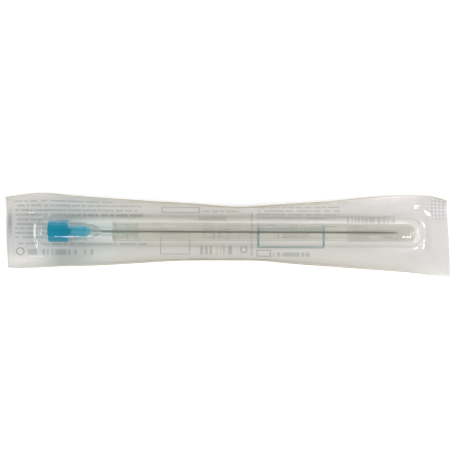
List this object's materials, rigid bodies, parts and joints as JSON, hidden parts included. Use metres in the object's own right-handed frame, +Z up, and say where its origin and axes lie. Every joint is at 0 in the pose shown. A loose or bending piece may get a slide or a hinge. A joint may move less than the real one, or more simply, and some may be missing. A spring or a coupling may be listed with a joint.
{
  "type": "spinal needle",
  "caption": "Spinal needle with a fluted teal stylet cap, clear hub and clear guard tube, sealed in a long clear-film and paper peel pouch with rolled-up edges.",
  "frame": {"origin": "middle of the pouch's outline on the surface that it lies on", "axes": "+X along the needle towards its point, +Z up from the table to the film side, +Y to the left of the needle seen from above with its point ahead"},
  "size_m": [0.1528, 0.0283, 0.0083],
  "materials": {
    "paper": "matte, print on the far side",
    "film": "clear, glossy",
    "teal_plastic": "satin",
    "clear_plastic": "clear, polished",
    "guard_plastic": "clear, slightly milky",
    "steel": "bright drawn"
  },
  "bodies": {
    "pack": {"backing_paper": "paper", "blister_film": "film", "hub": "clear_plastic", "cannula": "steel"},
    "stylet": {"stylet_cap": "teal_plastic", "stylet_wire": "steel"},
    "guard": {"guard_tube": "guard_plastic"}
  },
  "joints": [
    {"name": "stylet_slide", "type": "slide", "parent": "pack", "child": "stylet", "axis": [-1, 0, 0], "range_m": [0, 0.002]},
    {"name": "guard_slide", "type": "slide", "parent": "pack", "child": "guard", "axis": [1, 0, 0], "range_m": [0, 0.0018]}
  ]
}
